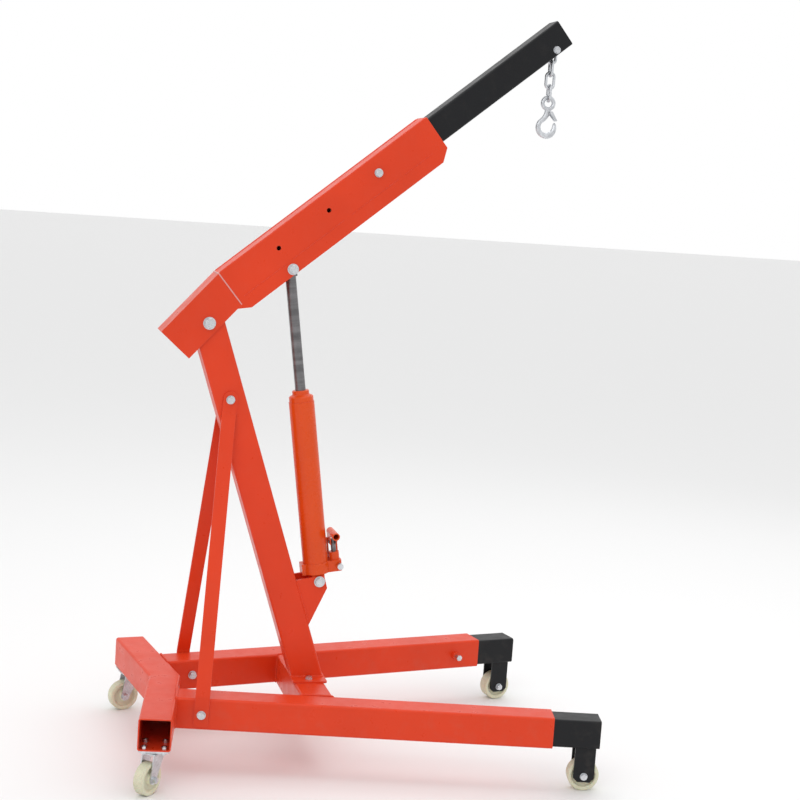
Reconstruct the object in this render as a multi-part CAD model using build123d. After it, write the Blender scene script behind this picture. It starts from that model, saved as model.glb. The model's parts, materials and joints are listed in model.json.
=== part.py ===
"""Workshop engine crane with a hydraulic ram: +X is forward, +Y is left, +Z is up, millimetres.

The floor is Z = 0. Every length below is worked out in a layout frame whose X = 0 lies near the
mast; the parts are moved back by FOOTPRINT_CENTRE_X when they are written, so that the origin is
the middle of the footprint, on the floor.
"""
from build123d import *
import os
from math import cos, radians, sin, tan

# ---- base frame -------------------------------------------------------------------------------
TUBE = 100.0                  # square tube of the base, outside
WALL = 4.0
CORNER = 8.0                  # outside corner radius of the square tubes
TUBE_TOP = 240.0              # top face of the base tubes above the floor
TUBE_MID = TUBE_TOP - TUBE / 2
TUBE_BOTTOM = TUBE_TOP - TUBE
FOOTPRINT_CENTRE_X = 290.1

ARM_APEX_X = -357.0           # rear corner of the V-shaped rear beam, on the centre plane
ARM_SWEEP = 9.5               # degrees that each arm of the V is swept back
ARM_EDGE = 437.0              # rear edge of one arm, from the apex to its open end

LEG_SPLAY = 12.2              # degrees that each leg opens outwards
LEG_Y0 = 250.0                # leg centre line at X = 0
LEG_END_X = 873.0
CROSS_X = 153.0               # centre line of the cross beam

# ---- leg extensions and front wheels ----------------------------------------------------------
EXT = 90.0                    # square tube of the leg and boom extensions
EXT_WALL = 4.0
LEG_EXT_END_X = 1020.0
LEG_EXT_LENGTH = 520.0
WHEEL_R = 50.0
FRONT_AXLE_X = 980.0
FRONT_WHEEL_WIDTH = 44.0
FORK_GAP = 50.0               # between the two front fork plates
FORK_PLATE = 6.0
FORK_WIDTH = 66.0
FORK_BOTTOM = 31.0
AXLE_D = 12.0
LOCK_X = 776.0                # locking bolt of the leg extension, on the leg's inner face

# ---- rear swivel casters ----------------------------------------------------------------------
CASTER_INSET = 45.0           # kingpin from the open end of the arm, along its centre line
CASTER_TRAIL = 30.0
CASTER_ANGLE = {"right": 228.0, "left": 198.0}   # direction in which each fork trails
REAR_WHEEL_WIDTH = 34.0
CASTER_PLATE = (96.0, 88.0, 5.0)
CASTER_HOLES = (60.0, 62.0)
CASTER_RACE = 8.0             # ball race between the plate and the fork's crown
CROWN = 4.2                   # sheet thickness of the rear forks
FREE_GAP = 0.3                # between pieces that turn past each other

# ---- mast -------------------------------------------------------------------------------------
MAST_LEAN = 18.6              # degrees back from vertical
MAST_FOOT_X = 155.0
FOOT_PLATE = (112.0, 212.0, 6.0)
FOOT_BOLT_Y = 76.0            # bolts through the foot plate, each side of the centre plane
MAST_FOOT_Z = TUBE_TOP + FOOT_PLATE[2]
PIVOT_DISTANCE = 1211.0       # boom pivot from the mast's foot, along the mast
MAST_TOP = 1259.0
PIVOT_D = 20.0
BRACE_DISTANCE = 958.0        # brace bolt from the mast's foot, along the mast
BRACE_WIDTH = 45.0
BRACE_THICK = 6.0
BRACE_FOOT_X = -206.0
BRACE_FOOT_TAB = 58.0         # flat lower end of the brace, from its bend to its bolt

# ---- boom -------------------------------------------------------------------------------------
BOOM_REAR_ANGLE = 48.5        # slope of the rear section over the mast
BOOM_ANGLE = 40.0             # slope of the long front section
BOOM_REAR_AHEAD = 131.0       # kink from the pivot, along the rear section
BOOM_REAR_BEHIND = 124.0      # rear end from the pivot, along the rear section
BOOM_REAR_DEPTH = 121.0
PIVOT_DEPTH = 89.0            # pivot below the top face of the rear section
BOOM_TUBE = 104.0
BOOM_WALL = 5.0
BOOM_LENGTH = 830.0           # kink to the front end
SIDE_PLATE = 6.0
SIDE_DEPTH = 148.0
HOLE_PITCH = 200.0            # adjusting holes of the boom
HOLE_FIRST = 200.0            # first adjusting hole from the kink
HOLE_DEPTH = 50.0
HOLE_D = 15.0
BOOM_EXT_TIP = 1371.0         # tip of the boom extension from the kink
BOOM_EXT_LENGTH = 840.0
CHAIN_PIN_BACK = 56.0         # chain pin from the tip
CHAIN_PIN_UP = 16.0           # chain pin above the extension's lower face
RAM_PIN = (197.0, 131.0)      # ram's top pin: along the boom from the kink, below its top face

# ---- hydraulic ram ----------------------------------------------------------------------------
JACK_PIN = (176.5, 564.0)     # lower pin, X and Z
CHEEK = 8.0
CHEEK_INSIDE = 38.0           # inner face of each cheek plate from the centre plane
RESERVOIR_D = 83.0
PRESSURE_D = 54.0
CYLINDER_BORE = 44.0
RAM_D = 34.0
JACK_BODY_TOP = 593.0         # top of the reservoir tube, from the lower pin
RAM_EYE_WIDTH = 60.0
RAM_BOLT_D = 18.0
PUMP_X = 64.0                 # plunger axis ahead of the ram axis
PLUNGER_D = 16.0
PLUNGER_PIN = 118.0           # plunger's cross pin, from the lower pin along the ram
LEVER_ARM = 26.0              # lever pivot to plunger pin
SOCKET_BORE = 18.0
BLOCK_HALF = 24.0             # half width of the pump block
VALVE_AXIS = (74.0, 40.0)     # release valve: ahead of the ram axis, and above the lower pin
VALVE_D = 14.0
SOCKET_UP = 146.0

# ---- chain and hook ---------------------------------------------------------------------------
WIRE = 10.0
LINK_PITCH = 41.0
LINK_WIDTH = 37.0
LINK_GAP = 0.3                # free play left between neighbouring links
CHAIN_PIN_D = 12.0
EYE_HOLE = 12.0               # inside radius of the hook's eye
EYE_WIRE = 6.75               # radius of the eye's round section
HOOK_THICK = 17.0
BOWL_DROP = 78.0              # middle of the bowl below the middle of the eye
BOWL_R = 18.0
LATCH_PIVOT = (10.0, 0.0, -31.0)   # rivet of the safety latch, from the middle of the eye

parts = {}


# ---- directions and points of the layout ------------------------------------------------------
def slope(angle):
    """Unit vector in the XZ plane at an angle above +X."""
    return Vector(cos(radians(angle)), 0, sin(radians(angle)))


def below(angle):
    """Unit vector square to slope(angle), pointing down and forward."""
    return Vector(sin(radians(angle)), 0, -cos(radians(angle)))


MAST_UP = slope(90 + MAST_LEAN)
MAST_FOOT = Vector(MAST_FOOT_X, 0, MAST_FOOT_Z)
PIVOT = MAST_FOOT + MAST_UP * PIVOT_DISTANCE
KINK = PIVOT + slope(BOOM_REAR_ANGLE) * BOOM_REAR_AHEAD - below(BOOM_REAR_ANGLE) * PIVOT_DEPTH


def on_boom(along, depth, y=0.0):
    """Point of the boom: along its front section from the kink, and below its top face."""
    return KINK + slope(BOOM_ANGLE) * along + below(BOOM_ANGLE) * depth + Vector(0, y, 0)


JACK_LOW = Vector(JACK_PIN[0], 0, JACK_PIN[1])
JACK_HIGH = on_boom(*RAM_PIN)
JACK_UP = (JACK_HIGH - JACK_LOW).normalized()
JACK_LENGTH = (JACK_HIGH - JACK_LOW).length
JACK_FORWARD = Vector(JACK_UP.Z, 0, -JACK_UP.X)

BOOM_PLANE = Plane(origin=KINK, x_dir=slope(BOOM_ANGLE), z_dir=Vector(0, -1, 0))
REAR_PLANE = Plane(origin=PIVOT, x_dir=slope(BOOM_REAR_ANGLE), z_dir=Vector(0, -1, 0))
MAST_PLANE = Plane(origin=MAST_FOOT, x_dir=MAST_UP, z_dir=Vector(0, -1, 0))
JACK_PLANE = Plane(origin=JACK_LOW, x_dir=JACK_FORWARD, z_dir=JACK_UP)
EXT_CENTRE = BOOM_TUBE / 2
CHAIN_PIN = on_boom(BOOM_EXT_TIP - CHAIN_PIN_BACK, EXT_CENTRE + EXT / 2 - CHAIN_PIN_UP)


def leg_centre(x):
    """Y of the left leg's centre line at X."""
    return LEG_Y0 + x * tan(radians(LEG_SPLAY))


def arm_centre(distance):
    """Point on the left arm's centre line, at a distance from the centre plane."""
    start = ARM_APEX_X + TUBE / 2 / cos(radians(ARM_SWEEP))
    turn = radians(ARM_SWEEP)
    return Vector(start - distance * sin(turn), distance * cos(turn), TUBE_MID)


ARM_LENGTH = ARM_EDGE + TUBE / 2 * tan(radians(ARM_SWEEP))


# ---- helpers ----------------------------------------------------------------------------------
def square_tube(length, size, wall, corner=CORNER):
    """Square tube along +X from 0, centred on Y and Z."""
    section = RectangleRounded(size, size, corner)
    hollow = RectangleRounded(size - 2 * wall, size - 2 * wall, max(corner - wall, 1))
    return extrude(Plane.YZ * (section - hollow), length)


def outline_of(*points):
    """Closed outline whose face always points along its plane's normal."""
    turns = sum(a[0] * b[1] - b[0] * a[1] for a, b in zip(points, points[1:] + points[:1]))
    return Polygon(*(points if turns > 0 else points[::-1]), align=None)


def plate(outline, y_low, thickness, plane=Plane.XZ):
    """Flat plate from an outline drawn in a plane whose normal is -Y, from y_low up."""
    face = plane * outline_of(*outline)
    return Pos(0, y_low, 0) * extrude(face, thickness, dir=(0, 1, 0))


def rod(start, end, diameter):
    """Solid round bar between two points."""
    axis = end - start
    return extrude(Plane(origin=start, z_dir=axis) * Circle(diameter / 2), axis.length)


def across(point, half_width, diameter):
    """Round bar along Y through a point, reaching half_width each way."""
    return rod(point - Vector(0, half_width, 0), point + Vector(0, half_width, 0), diameter)


def hexagon(start, end, across_flats):
    """Hexagonal prism between two points, with its outer corners turned off."""
    axis = end - start
    plane = Plane(origin=start, z_dir=axis)
    body = extrude(plane * RegularPolygon(across_flats / 2, 6, major_radius=False), axis.length)
    return body & chamfered_disc(plane, across_flats * 0.56, axis.length, across_flats * 0.05)


def chamfered_disc(plane, radius, height, cut):
    """Disc with a small bevel on its far rim."""
    outline = outline_of((0, 0), (radius, 0), (radius, height - cut), (radius - cut, height),
                         (0, height))
    return plane * revolve(Plane.XZ * outline, Axis.Z)


def washer(start, end, outside, hole):
    """Plain washer or collar between two points."""
    return rod(start, end, outside) - rod(start, end, hole)


BOLT_FLATS = {10: 17.0, 12: 19.0, 14: 22.0, 18: 27.0, 20: 30.0}


def bolt_head(size, face, out):
    """Hexagon head that stands on a face and points out."""
    return hexagon(face, face + out * (0.62 * size), BOLT_FLATS[size])


def nut(size, face, out, bore=None):
    """Hexagon nut that stands on a face and points out."""
    height = 0.8 * size
    hole = rod(face - out, face + out * (height + 1), bore or size)
    return hexagon(face, face + out * height, BOLT_FLATS[size]) - hole


def bolt_and_nut(size, head_face, nut_face, washers=True):
    """Bolt from its head's bearing face to its nut's bearing face, with two washers."""
    out = (head_face - nut_face).normalized()
    thick = 2.0 if washers else 0.0
    pieces = [
        bolt_head(size, head_face + out * thick, out)
        + rod(head_face + out * thick, nut_face - out * (thick + size), size),
        nut(size, nut_face - out * thick, -out),
    ]
    if washers:
        pieces.append(washer(head_face, head_face + out * thick, 2 * size, size + 0.2))
        pieces.append(washer(nut_face, nut_face - out * thick, 2 * size, size + 0.2))
    return pieces


def group(pieces):
    """Separate solids that share one node."""
    return Compound(children=[solid for piece in pieces for solid in piece.solids()])


def mirrored(shape):
    """The same piece on the right-hand side."""
    return mirror(shape, about=Plane.XZ)


def add_pair(name, left):
    """Stores a left piece and its mirror image."""
    parts[name + "_left"] = left
    parts[name + "_right"] = mirrored(left)


# ---- base frame -------------------------------------------------------------------------------
def left_arm():
    """Left half of the rear beam, from the centre plane to its open end."""
    start = arm_centre(-60)
    tube = square_tube(ARM_LENGTH + 60, TUBE, WALL)
    arm = Pos(start.X, start.Y, start.Z) * Rot(0, 0, 90 + ARM_SWEEP) * tube
    return arm & Pos(ARM_APEX_X, 500, TUBE_MID) * Box(900, 1000, 200)


def caster_place(side):
    """Kingpin axis of one rear caster, and the pattern's turn."""
    centre = arm_centre(ARM_LENGTH - CASTER_INSET)
    if side == "left":
        return Pos(centre.X, centre.Y, 0) * Rot(0, 0, ARM_SWEEP)
    return Pos(centre.X, -centre.Y, 0) * Rot(0, 0, -ARM_SWEEP)


def caster_hole_places():
    """Centres of the four bolts around a kingpin."""
    return GridLocations(CASTER_HOLES[0], CASTER_HOLES[1], 2, 2).locations


def build_rear_beam():
    beam = left_arm() + mirrored(left_arm())
    for side in ("left", "right"):
        for place in caster_hole_places():
            hole = Pos(0, 0, TUBE_BOTTOM + WALL / 2) * Cylinder(5.5, 3 * WALL)
            beam -= caster_place(side) * place * hole
    parts["rear_beam"] = beam


def arm_front_cut(reach):
    """Block behind the left arm's front face, to cut the leg's root to the arm."""
    corner = ARM_APEX_X + TUBE / cos(radians(ARM_SWEEP))
    block = Pos(-reach / 2, 0, 0) * Box(reach, 3 * reach, 3 * TUBE)
    return Pos(corner, 0, TUBE_MID) * Rot(0, 0, ARM_SWEEP) * block


def leg_place(x):
    """Left leg's centre line at X, with local +X along the leg."""
    return Pos(x, leg_centre(x), TUBE_MID) * Rot(0, 0, LEG_SPLAY)


def build_leg():
    turn = radians(LEG_SPLAY)
    start_x = ARM_APEX_X
    tube = square_tube((LEG_END_X - start_x) / cos(turn), TUBE, WALL)
    leg = leg_place(start_x) * tube - arm_front_cut(400)
    bolt = brace_foot_point()
    leg -= rod(bolt["inner"] - bolt["out"] * 20, bolt["outer"] + bolt["out"] * 20, 15)
    lock = lock_axis()
    leg -= rod(lock["face"] + lock["out"] * 5, lock["face"] - lock["out"] * 12, 12.4)
    add_pair("leg", leg)


def leg_normal():
    """Outward normal of the left leg's outer face."""
    turn = radians(LEG_SPLAY)
    return Vector(-sin(turn), cos(turn), 0)


def brace_foot_point():
    """Brace bolt through the left leg: its outer and inner face points and its direction."""
    centre = Vector(BRACE_FOOT_X, leg_centre(BRACE_FOOT_X), TUBE_MID)
    out = leg_normal()
    return {"outer": centre + out * (TUBE / 2), "inner": centre - out * (TUBE / 2), "out": out}


def lock_axis():
    """Locking bolt of the left leg: point on the inner face, and the direction away from it."""
    out = leg_normal() * -1
    centre = Vector(LOCK_X, leg_centre(LOCK_X), TUBE_MID)
    return {"face": centre + out * (TUBE / 2), "out": out}


def build_leg_locks():
    lock = lock_axis()
    face, out = lock["face"], lock["out"]
    weld_nut = hexagon(face, face + out * 14, 24) - rod(face - out, face + out * 16, 12)
    screw = rod(face - out * (WALL - 0.3), face + out * 32, 12)
    screw += hexagon(face + out * 32, face + out * 40, 19)
    parts["leg_lock_nuts"] = group([weld_nut, mirrored(weld_nut)])
    parts["leg_lock_bolts"] = group([screw, mirrored(screw)])


def build_cross_beam():
    """Cross beam between the inner faces of the legs."""
    tube = Pos(CROSS_X, -400, TUBE_MID) * Rot(0, 0, 90) * square_tube(800, TUBE, WALL)
    block = Pos(0, 200 - TUBE / 2, 0) * Box(2600, 400, 3 * TUBE)
    outside = leg_place(0) * block
    beam = tube - outside - mirrored(outside)
    for y in (-1, 1):
        beam -= Pos(MAST_FOOT_X, y * FOOT_BOLT_Y, TUBE_TOP) * Cylinder(6.5, 3 * WALL)
    parts["cross_beam"] = beam


# ---- mast and braces --------------------------------------------------------------------------
def build_mast():
    tube = MAST_PLANE * Pos(-80, 0, 0) * square_tube(MAST_TOP + 80, TUBE, WALL)
    mast = tube - Pos(MAST_FOOT_X, 0, MAST_FOOT_Z - 100) * Box(400, 200, 200)
    bush_d = PIVOT_D + 16
    mast -= across(PIVOT, TUBE, bush_d)
    mast -= across(MAST_FOOT + MAST_UP * BRACE_DISTANCE, TUBE, 14.4)
    parts["mast"] = mast
    bush = across(PIVOT, TUBE / 2 + 1.6, bush_d) - across(PIVOT, TUBE, PIVOT_D + 0.2)
    parts["mast_pivot_bush"] = bush

    length, width, thick = FOOT_PLATE
    foot = Pos(MAST_FOOT_X, 0, TUBE_TOP + thick / 2) * Box(length, width, thick)
    foot = fillet(foot.edges().filter_by(Axis.Z), 8)
    bolts = []
    for y in (-FOOT_BOLT_Y, FOOT_BOLT_Y):
        foot -= Pos(MAST_FOOT_X, y, TUBE_TOP) * Cylinder(6.5, 4 * thick)
        top = Vector(MAST_FOOT_X, y, MAST_FOOT_Z)
        bolts += bolt_and_nut(12, top, Vector(MAST_FOOT_X, y, TUBE_TOP - WALL))
    parts["mast_foot_plate"] = foot
    parts["mast_foot_bolts"] = group(bolts)


def build_cheeks():
    """Two plates on the mast's front face that carry the ram's lower pin."""
    face_x = MAST_FOOT_X + (TUBE / 2) / cos(radians(MAST_LEAN))
    run = tan(radians(MAST_LEAN))
    high, low = 568.0, 419.0
    on_face_high = face_x - (high - MAST_FOOT_Z) * run
    on_face_low = face_x - (low - MAST_FOOT_Z) * run
    outline = [(on_face_high, high), (191.0, 584.0), (203.5, 543.0), (on_face_low, low)]
    cheek = plate(outline, CHEEK_INSIDE, CHEEK)
    cheek = fillet(cheek.edges().filter_by(Axis.Y).sort_by(Axis.X)[-2:], 6)
    cheek -= across(JACK_LOW, 100, RAM_BOLT_D + 0.4)
    add_pair("ram_bracket", cheek)
    outer = Vector(0, CHEEK_INSIDE + CHEEK, 0)
    parts["ram_base_bolt"] = group(bolt_and_nut(18, JACK_LOW - outer, JACK_LOW + outer))


def tab_plane(centre, along, normal):
    """Plane across a flat bar: local x over its width, local y over its thickness."""
    return Plane(origin=centre, x_dir=normal.cross(along), z_dir=along)


def bar_piece(centre, along, normal, length):
    """Straight run of the flat bar."""
    section = tab_plane(centre, along, normal) * Rectangle(BRACE_WIDTH, BRACE_THICK)
    return extrude(section, length)


def build_brace():
    """Flat bar from the mast's side to the leg's outer face, bent and twisted to lie on both."""
    half = BRACE_THICK / 2
    top = MAST_FOOT + MAST_UP * BRACE_DISTANCE + Vector(0, TUBE / 2 + half, 0)
    bolt = brace_foot_point()
    foot = bolt["outer"] + bolt["out"] * half
    run = foot - top
    side = Vector(0, 1, 0)
    down_top = (run - side * run.dot(side)).normalized()
    down_foot = (run - bolt["out"] * run.dot(bolt["out"])).normalized()
    bend_top = top + down_top * 42
    bend_foot = foot - down_foot * BRACE_FOOT_TAB
    sections = [
        tab_plane(bend_top, down_top, side) * Rectangle(BRACE_WIDTH, BRACE_THICK),
        tab_plane(bend_foot, down_foot, bolt["out"]) * Rectangle(BRACE_WIDTH, BRACE_THICK),
    ]
    brace = loft(sections, ruled=True)
    brace += bar_piece(top - down_top * 4, down_top, side, 46)
    brace += rod(top - down_top * 4 - side * half, top - down_top * 4 + side * half, BRACE_WIDTH)
    lower = bar_piece(bend_foot, down_foot, bolt["out"], BRACE_FOOT_TAB + 38)
    lower = fillet(lower.edges().filter_by(lambda e: abs(e.length - BRACE_THICK) < 0.1)
                   .sort_by(Axis.Z)[:2], 10)
    brace += lower
    brace -= rod(top - side * 10, top + side * 10, 14.4)
    brace -= rod(foot - bolt["out"] * 10, foot + bolt["out"] * 10, 14.4)
    add_pair("brace", brace)

    reach = Vector(0, TUBE / 2 + BRACE_THICK, 0)
    centre = MAST_FOOT + MAST_UP * BRACE_DISTANCE
    parts["brace_top_bolt"] = group(bolt_and_nut(14, centre - reach, centre + reach))
    foot_bolt = group(bolt_and_nut(14, bolt["outer"] + bolt["out"] * BRACE_THICK, bolt["inner"]))
    parts["brace_foot_bolts"] = group([foot_bolt, mirrored(foot_bolt)])


# ---- casters ----------------------------------------------------------------------------------
def wheel_profile(width, hub_width, bore):
    """Half section of a nylon wheel: radius along X, width along Y."""
    half, hub = width / 2, hub_width / 2
    points = [(bore, -hub), (17, -hub), (17, -half + 6), (36, -half + 6), (38, -half + 1),
              (WHEEL_R - 5, -half), (WHEEL_R, -half + 5), (WHEEL_R, half - 5),
              (WHEEL_R - 5, half), (38, half - 1), (36, half - 6), (17, half - 6), (17, hub),
              (bore, hub)]
    return outline_of(*points)


def wheel(place, width, hub_width):
    """Wheel whose axle lies along the local Y axis of its place."""
    body = revolve(Plane.XY * wheel_profile(width, hub_width, AXLE_D / 2 + 0.1), Axis.Y)
    return place * body


def axle_bolt(place, half_width):
    """Axle bolt along the local Y axis, clamped on two fork plates."""
    pieces = bolt_and_nut(12, Vector(0, -half_width, 0), Vector(0, half_width, 0))
    return group([place * piece for piece in pieces])


def build_rear_casters():
    bolts = []
    for side in ("left", "right"):
        place = caster_place(side)
        length, width, thick = CASTER_PLATE
        top = TUBE_BOTTOM
        body = Pos(0, 0, top - thick / 2) * Box(length, width, thick)
        body = fillet(body.edges().filter_by(Axis.Z), 10)
        race = Pos(0, 0, top - thick - CASTER_RACE / 2) * Cylinder(29, CASTER_RACE)
        crown_top = top - thick - CASTER_RACE - FREE_GAP
        rivet_top = crown_top - CROWN - FREE_GAP
        pin = rod(Vector(0, 0, top - thick), Vector(0, 0, rivet_top - 4), 14)
        rivet = rod(Vector(0, 0, rivet_top), Vector(0, 0, rivet_top - 5), 24)
        body = body + race + pin + rivet
        for hole in caster_hole_places():
            body -= hole * Pos(0, 0, top) * Cylinder(5.5, 4 * thick)
        parts["caster_plate_" + side] = place * body
        for hole in caster_hole_places():
            centre = hole.position
            low = Vector(centre.X, centre.Y, top - thick)
            high = Vector(centre.X, centre.Y, top + WALL)
            bolts += [place * piece for piece in bolt_and_nut(10, low, high, washers=False)]

        swivel = Pos(place.position.X, place.position.Y, 0) * Rot(0, 0, CASTER_ANGLE[side])
        crown = Pos(2, 0, crown_top - CROWN / 2) * Box(56, REAR_WHEEL_WIDTH + 16, CROWN)
        cheek = [(-24, crown_top), (30, crown_top), (45, WHEEL_R), (CASTER_TRAIL - 14, WHEEL_R - 4)]
        outer = REAR_WHEEL_WIDTH / 2 + 6
        fork = crown
        for y in (-outer, outer - 4):
            leg = plate(cheek, y, 4)
            leg += Pos(CASTER_TRAIL, y + 2, WHEEL_R) * Rot(90, 0, 0) * Cylinder(15, 4)
            fork += leg
        fork -= Pos(0, 0, crown_top) * Cylinder(7.3, 20)
        fork -= Pos(CASTER_TRAIL, 0, WHEEL_R) * Rot(90, 0, 0) * Cylinder(AXLE_D / 2 + 0.1, 100)
        parts["rear_fork_" + side] = swivel * fork
        axle = swivel * Pos(CASTER_TRAIL, 0, WHEEL_R)
        parts["rear_axle_" + side] = axle_bolt(axle, outer)
        parts["rear_wheel_" + side] = wheel(axle, REAR_WHEEL_WIDTH, REAR_WHEEL_WIDTH + 3)
    parts["caster_mount_bolts"] = group(bolts)


def build_leg_extension():
    turn = cos(radians(LEG_SPLAY))
    start = LEG_EXT_END_X - LEG_EXT_LENGTH * turn
    tube = leg_place(start) * square_tube(LEG_EXT_LENGTH, EXT, EXT_WALL)
    add_pair("leg_extension", tube)
    axle = leg_place(FRONT_AXLE_X) * Pos(0, 0, WHEEL_R - TUBE_MID)
    top = EXT / 2 + TUBE_MID - WHEEL_R - EXT
    low = FORK_BOTTOM - WHEEL_R
    half = FORK_WIDTH / 2
    outline = [(-half, top), (-half, low + 13), (-half + 13, low), (half - 13, low),
               (half, low + 13), (half, top)]
    plates = []
    for y in (-FORK_GAP / 2 - FORK_PLATE, FORK_GAP / 2):
        one = plate(outline, y, FORK_PLATE) - Rot(90, 0, 0) * Cylinder(AXLE_D / 2 + 0.1, 200)
        plates.append(axle * one)
    add_pair("front_fork", group(plates))
    add_pair("front_axle", axle_bolt(axle * Rot(0, 0, 180), FORK_GAP / 2 + FORK_PLATE))
    add_pair("front_wheel", wheel(axle, FRONT_WHEEL_WIDTH, FORK_GAP - 1))


# ---- boom -------------------------------------------------------------------------------------
def build_boom():
    tube = BOOM_PLANE * Pos(0, -EXT_CENTRE, 0) * square_tube(BOOM_LENGTH, BOOM_TUBE, BOOM_WALL)
    turn = BOOM_REAR_ANGLE - BOOM_ANGLE
    joint = BOOM_REAR_DEPTH / cos(radians(turn))
    drop = 18 * tan(radians(turn))
    outline = [(0, 0), (BOOM_LENGTH, 0), (BOOM_LENGTH, -118), (BOOM_LENGTH - 38, -SIDE_DEPTH),
               (20, -SIDE_DEPTH), (-18, -joint - drop), (0, -joint)]
    half = BOOM_TUBE / 2
    side = plate(outline, half, SIDE_PLATE, BOOM_PLANE)
    for step in range(3):
        hole = across(on_boom(HOLE_FIRST + step * HOLE_PITCH, HOLE_DEPTH), 100, HOLE_D)
        tube -= hole
        side -= hole
    side -= across(JACK_HIGH, 100, RAM_BOLT_D + 0.4)
    parts["boom_tube"] = tube
    add_pair("boom_side", side)

    up, down = PIVOT_DEPTH, PIVOT_DEPTH - BOOM_REAR_DEPTH
    kink = [(BOOM_REAR_AHEAD, up),
            (BOOM_REAR_AHEAD - BOOM_REAR_DEPTH * tan(radians(turn)), down)]
    shell = [(-BOOM_REAR_BEHIND, up), kink[0], kink[1], (-BOOM_REAR_BEHIND, down)]
    body = plate(shell, -half - SIDE_PLATE, 2 * (half + SIDE_PLATE), REAR_PLANE)
    inside = [(-BOOM_REAR_BEHIND - 50, up - SIDE_PLATE), (BOOM_REAR_AHEAD + 60, up - SIDE_PLATE),
              (BOOM_REAR_AHEAD + 60, down - 50), (-BOOM_REAR_BEHIND - 50, down - 50)]
    channel = body - plate(inside, -half, 2 * half, REAR_PLANE)
    channel -= across(PIVOT, 100, PIVOT_D + 0.4)
    parts["boom_rear_channel"] = channel
    outer = Vector(0, half + SIDE_PLATE, 0)
    parts["boom_pivot_bolt"] = group(bolt_and_nut(20, PIVOT - outer, PIVOT + outer))

    parts["ram_top_bolt"] = group(stub_bolt(JACK_HIGH, RAM_BOLT_D, half))
    lock = on_boom(HOLE_FIRST + 2 * HOLE_PITCH, HOLE_DEPTH)
    parts["boom_lock_bolt"] = group(stub_bolt(lock, 14, half - BOOM_WALL))


def stub_bolt(centre, size, inside):
    """Head and nut ends of a bolt along Y; its middle is a piece of its own."""
    face = BOOM_TUBE / 2 + SIDE_PLATE
    pieces = []
    for out in (Vector(0, -1, 0), Vector(0, 1, 0)):
        seat = centre + out * face
        end = rod(centre + out * (inside + 0.4), seat + out * 2, size)
        end += rod(seat, seat + out * 2, 2 * size)
        height = 0.62 * size if out.Y < 0 else 0.8 * size
        end += hexagon(seat + out * 2, seat + out * (2 + height), BOLT_FLATS[int(size)])
        if out.Y > 0:
            end += rod(seat + out * 2, seat + out * (size + 5), size)
        pieces.append(end)
    return pieces


def build_boom_extension():
    start = BOOM_EXT_TIP - BOOM_EXT_LENGTH
    tube = BOOM_PLANE * Pos(start, -EXT_CENTRE, 0) * square_tube(BOOM_EXT_LENGTH, EXT, EXT_WALL)
    lock = on_boom(HOLE_FIRST + 2 * HOLE_PITCH, HOLE_DEPTH)
    tube -= across(lock, 100, 14.4)
    slot = Pos(BOOM_EXT_TIP - CHAIN_PIN_BACK, -EXT_CENTRE - EXT / 2, 0) * Box(90, 30, 34)
    tube -= BOOM_PLANE * slot
    tube -= across(CHAIN_PIN, 100, CHAIN_PIN_D)
    parts["boom_extension"] = tube
    parts["boom_lock_shank"] = across(lock, BOOM_TUBE / 2 - BOOM_WALL - 0.4, 14)
    face = Vector(0, EXT / 2, 0)
    parts["chain_pin"] = group(bolt_and_nut(12, CHAIN_PIN - face, CHAIN_PIN + face))


# ---- hydraulic ram ----------------------------------------------------------------------------
def turned(outline):
    """Body of revolution about the ram's axis: radius along X, height along Z."""
    return JACK_PLANE * revolve(Plane.XZ * outline_of(*outline), Axis.Z)


def jack_box(e_low, e_high, half_width, z_low, z_high):
    """Block in the ram's own frame: e is forward of its axis."""
    centre = Pos((e_low + e_high) / 2, 0, (z_low + z_high) / 2)
    return JACK_PLANE * centre * Box(e_high - e_low, 2 * half_width, z_high - z_low)


def jack_point(e, y, z):
    """Point in the ram's own frame."""
    return JACK_LOW + JACK_FORWARD * e + Vector(0, y, 0) + JACK_UP * z


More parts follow.
